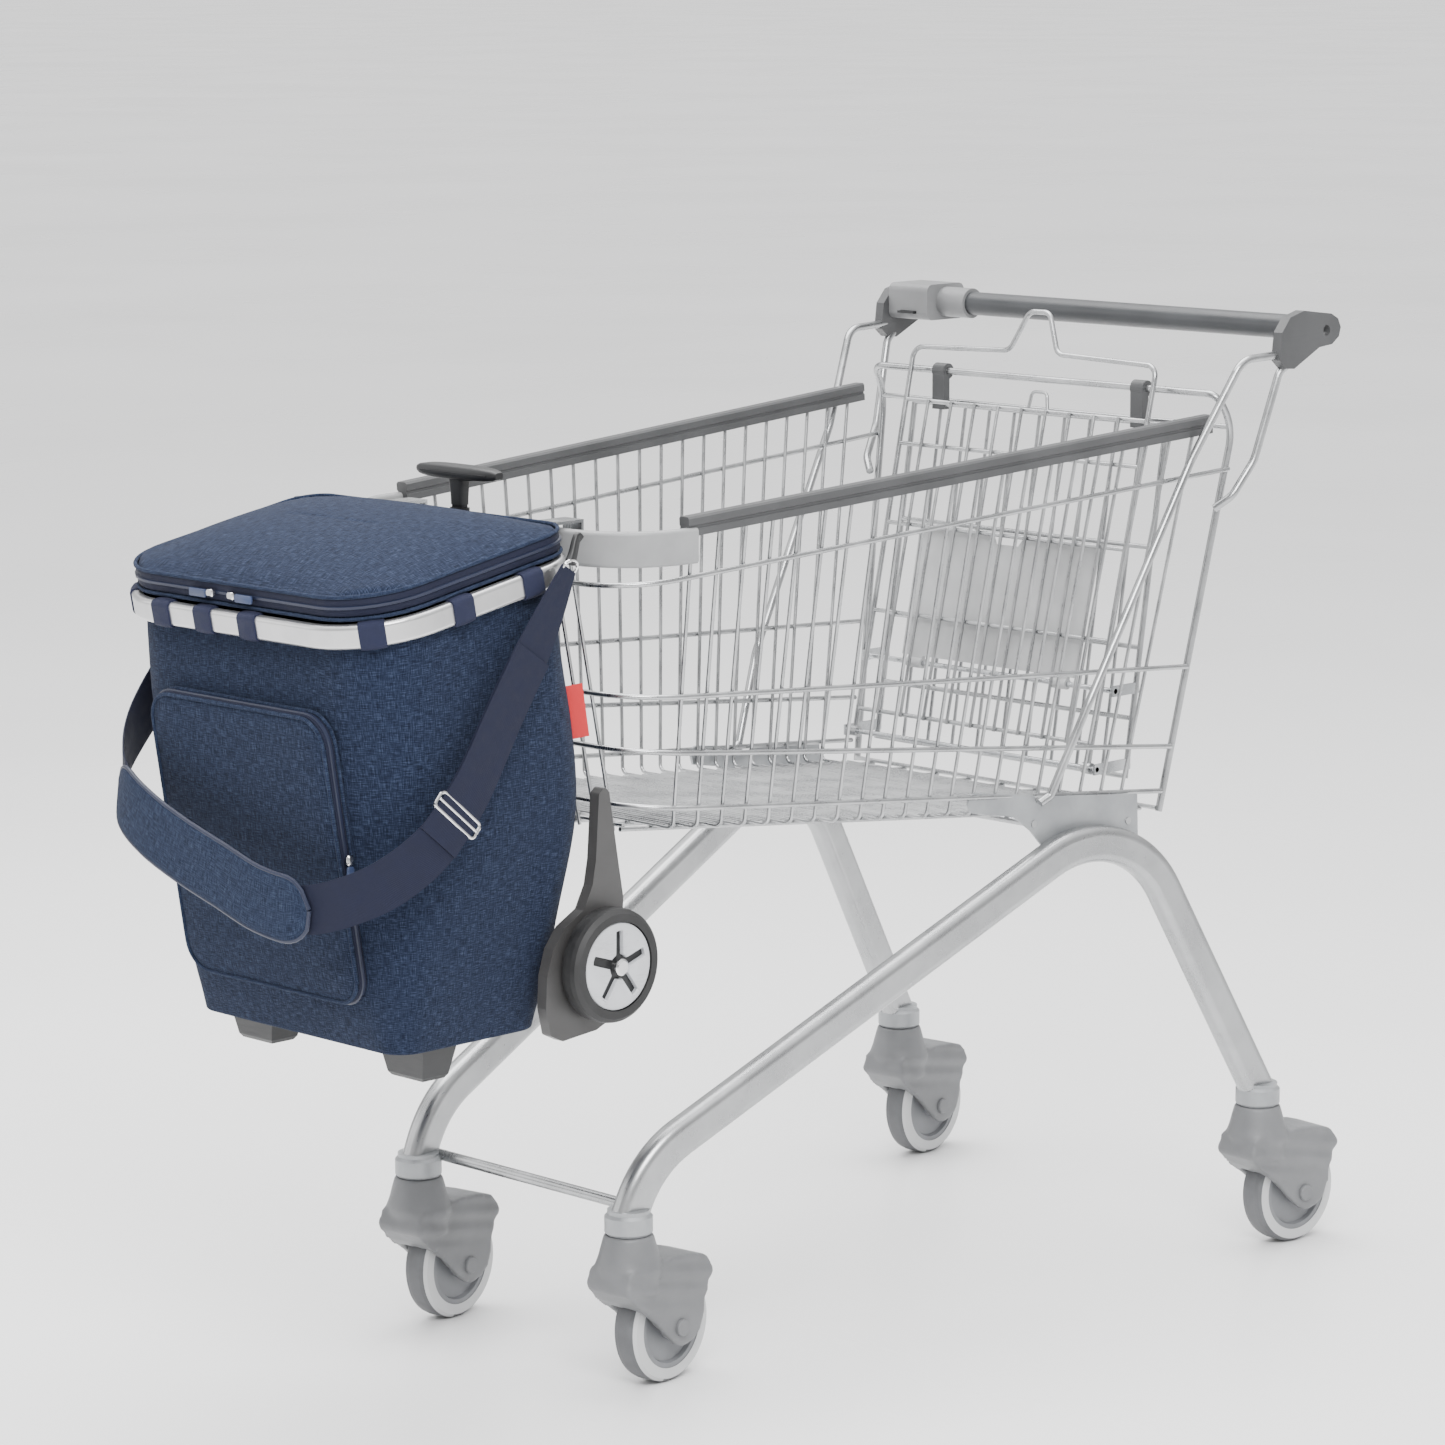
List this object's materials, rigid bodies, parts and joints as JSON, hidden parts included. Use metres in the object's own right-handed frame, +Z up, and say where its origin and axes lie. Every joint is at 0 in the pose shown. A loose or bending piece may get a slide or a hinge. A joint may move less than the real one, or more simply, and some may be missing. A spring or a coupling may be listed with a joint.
{
  "type": "shopping trolley",
  "caption": "Wire shopping trolley on four swivel castors, with a hinged back gate and child seat, and a wheeled fabric bag hooked on the front of its basket.",
  "frame": {"origin": "on the floor, at the middle of the footprint", "axes": "+Z up, +Y from the bag towards the push handle, +X towards the trolley's left side"},
  "size_m": [0.6328, 1.3911, 1.064],
  "materials": {
    "wire": "zinc-plated and lacquered wire",
    "frame_lacquer": "silver-grey lacquered tube",
    "sheet_steel": "grey lacquered sheet steel",
    "steel": "zinc-plated turned steel",
    "rail_plastic": "dark grey ridged profile",
    "bumper_plastic": "light grey moulding",
    "handle_plastic": "dark grey sleeve",
    "lock_plastic": "grey moulding",
    "black_plastic": "black moulding",
    "panel_plastic": "light grey panel",
    "bag_fabric": "navy melange polyester weave",
    "webbing": "navy webbing",
    "pad_fabric": "navy melange with dark binding",
    "alloy": "satin anodised",
    "bracket_plastic": "dark grey moulding",
    "bolt_chrome": "polished",
    "pole_black": "black anodised",
    "castor_plastic": "mid grey moulding",
    "castor_tyre": "grey non-marking tread",
    "hub_plastic": "grey moulding",
    "bag_tyre": "black rubber",
    "cap_silver": "silver-grey satin"
  },
  "bodies": {
    "trolley": {"left_frame_tube": "frame_lacquer", "right_frame_tube": "frame_lacquer", "front_cross_bar": "frame_lacquer", "saddle_plates": "sheet_steel", "cross_wires": "wire", "castor_sockets": "steel", "basket_side_walls": "wire", "basket_front_wall": "wire", "basket_floor": "wire", "back_arch": "wire", "top_rails": "rail_plastic", "front_bumper": "bumper_plastic", "handle_bar": "handle_plastic", "handle_brackets": "sheet_steel", "handle_stays": "frame_lacquer", "coin_lock_body": "lock_plastic"},
    "castor_front_left": {"castor_fork_front_left": "castor_plastic", "castor_axle_front_left": "steel"},
    "wheel_front_left": {"castor_tyre_front_left": "castor_tyre", "castor_hub_front_left": "hub_plastic"},
    "castor_front_right": {"castor_fork_front_right": "castor_plastic", "castor_axle_front_right": "steel"},
    "wheel_front_right": {"castor_tyre_front_right": "castor_tyre", "castor_hub_front_right": "hub_plastic"},
    "castor_rear_left": {"castor_fork_rear_left": "castor_plastic", "castor_axle_rear_left": "steel"},
    "wheel_rear_left": {"castor_tyre_rear_left": "castor_tyre", "castor_hub_rear_left": "hub_plastic"},
    "castor_rear_right": {"castor_fork_rear_right": "castor_plastic", "castor_axle_rear_right": "steel"},
    "wheel_rear_right": {"castor_tyre_rear_right": "castor_tyre", "castor_hub_rear_right": "hub_plastic"},
    "coin_drawer": {"coin_drawer": "black_plastic"},
    "gate": {"back_gate": "wire", "gate_hinge_clips": "lock_plastic", "gate_pivot_rods": "wire"},
    "seat_back": {"seat_back_frame": "wire"},
    "seat_panel": {"seat_panel": "panel_plastic"},
    "bag": {"bag_body": "bag_fabric", "bag_frame_ring": "alloy", "bag_frame_loops": "webbing", "bag_pocket": "bag_fabric", "bag_strap": "webbing", "bag_strap_pad": "pad_fabric", "bag_strap_hardware": "black_plastic", "bag_wheel_brackets": "bracket_plastic", "bag_wheel_bolts": "bolt_chrome", "bag_feet": "black_plastic", "pole_sleeve": "alloy", "pole_brackets": "black_plastic", "bag_hooks": "black_plastic"},
    "bag_lid": {"bag_lid": "bag_fabric"},
    "bag_wheel_left": {"bag_tyre_left": "bag_tyre", "bag_wheel_hub_left": "black_plastic", "bag_wheel_cap_left": "cap_silver"},
    "bag_wheel_right": {"bag_tyre_right": "bag_tyre", "bag_wheel_hub_right": "black_plastic", "bag_wheel_cap_right": "cap_silver"},
    "pole": {"pole_tube": "pole_black", "pole_grip": "black_plastic"}
  },
  "joints": [
    {"name": "swivel_front_left", "type": "hinge", "parent": "trolley", "child": "castor_front_left", "pos_m": [0.163, -0.2856, 0], "axis": [0, 0, 1], "continuous": true},
    {"name": "roll_front_left", "type": "hinge", "parent": "castor_front_left", "child": "wheel_front_left", "pos_m": [0.15777, -0.23587, 0.06], "axis": [0.9945, 0.1045, 0], "continuous": true},
    {"name": "swivel_front_right", "type": "hinge", "parent": "trolley", "child": "castor_front_right", "pos_m": [-0.163, -0.2856, 0], "axis": [0, 0, 1], "continuous": true},
    {"name": "roll_front_right", "type": "hinge", "parent": "castor_front_right", "child": "wheel_front_right", "pos_m": [-0.17082, -0.23622, 0.06], "axis": [0.9877, 0.1564, 0], "continuous": true},
    {"name": "swivel_rear_left", "type": "hinge", "parent": "trolley", "child": "castor_rear_left", "pos_m": [0.278, 0.5854, 0], "axis": [0, 0, 1], "continuous": true},
    {"name": "roll_rear_left", "type": "hinge", "parent": "castor_rear_left", "child": "wheel_rear_left", "pos_m": [0.28323, 0.63513, 0.06], "axis": [0.9945, -0.1045, 0], "continuous": true},
    {"name": "swivel_rear_right", "type": "hinge", "parent": "trolley", "child": "castor_rear_right", "pos_m": [-0.278, 0.5854, 0], "axis": [0, 0, 1], "continuous": true},
    {"name": "roll_rear_right", "type": "hinge", "parent": "castor_rear_right", "child": "wheel_rear_right", "pos_m": [-0.28323, 0.63513, 0.06], "axis": [0.9945, 0.1045, 0], "continuous": true},
    {"name": "coin_drawer_slide", "type": "slide", "parent": "trolley", "child": "coin_drawer", "axis": [0, -1, 0], "range_m": [0, 0.012]},
    {"name": "gate_swing", "type": "hinge", "parent": "trolley", "child": "gate", "pos_m": [0, 0.5204, 0.973], "axis": [-1, 0, 0], "range_deg": [0, 60]},
    {"name": "seat_back_fold", "type": "hinge", "parent": "gate", "child": "seat_back", "pos_m": [0, 0.4034, 0.562], "axis": [1, 0, 0], "range_deg": [0, 40]},
    {"name": "seat_panel_fold", "type": "hinge", "parent": "gate", "child": "seat_panel", "pos_m": [0, 0.4334, 0.646], "axis": [1, 0, 0], "range_deg": [0, 56]},
    {"name": "bag_lift_off", "type": "slide", "parent": "trolley", "child": "bag", "axis": [0, 0, 1], "range_m": [0, 0.1]},
    {"name": "bag_lid_hinge", "type": "hinge", "parent": "bag", "child": "bag_lid", "pos_m": [0, -0.38898, 0.90969], "axis": [-1, 0, 0], "range_deg": [0, 70]},
    {"name": "bag_roll_left", "type": "hinge", "parent": "bag", "child": "bag_wheel_left", "pos_m": [0.215, -0.3576, 0.466], "axis": [1, 0, 0], "continuous": true},
    {"name": "bag_roll_right", "type": "hinge", "parent": "bag", "child": "bag_wheel_right", "pos_m": [-0.215, -0.3576, 0.466], "axis": [1, 0, 0], "continuous": true},
    {"name": "pole_extend", "type": "slide", "parent": "bag", "child": "pole", "axis": [0, 0, 1], "range_m": [0, 0.38]}
  ],
  "couplings": [
    {"joint": "seat_panel_fold", "follows": "seat_back_fold", "ratio": 1.4}
  ]
}
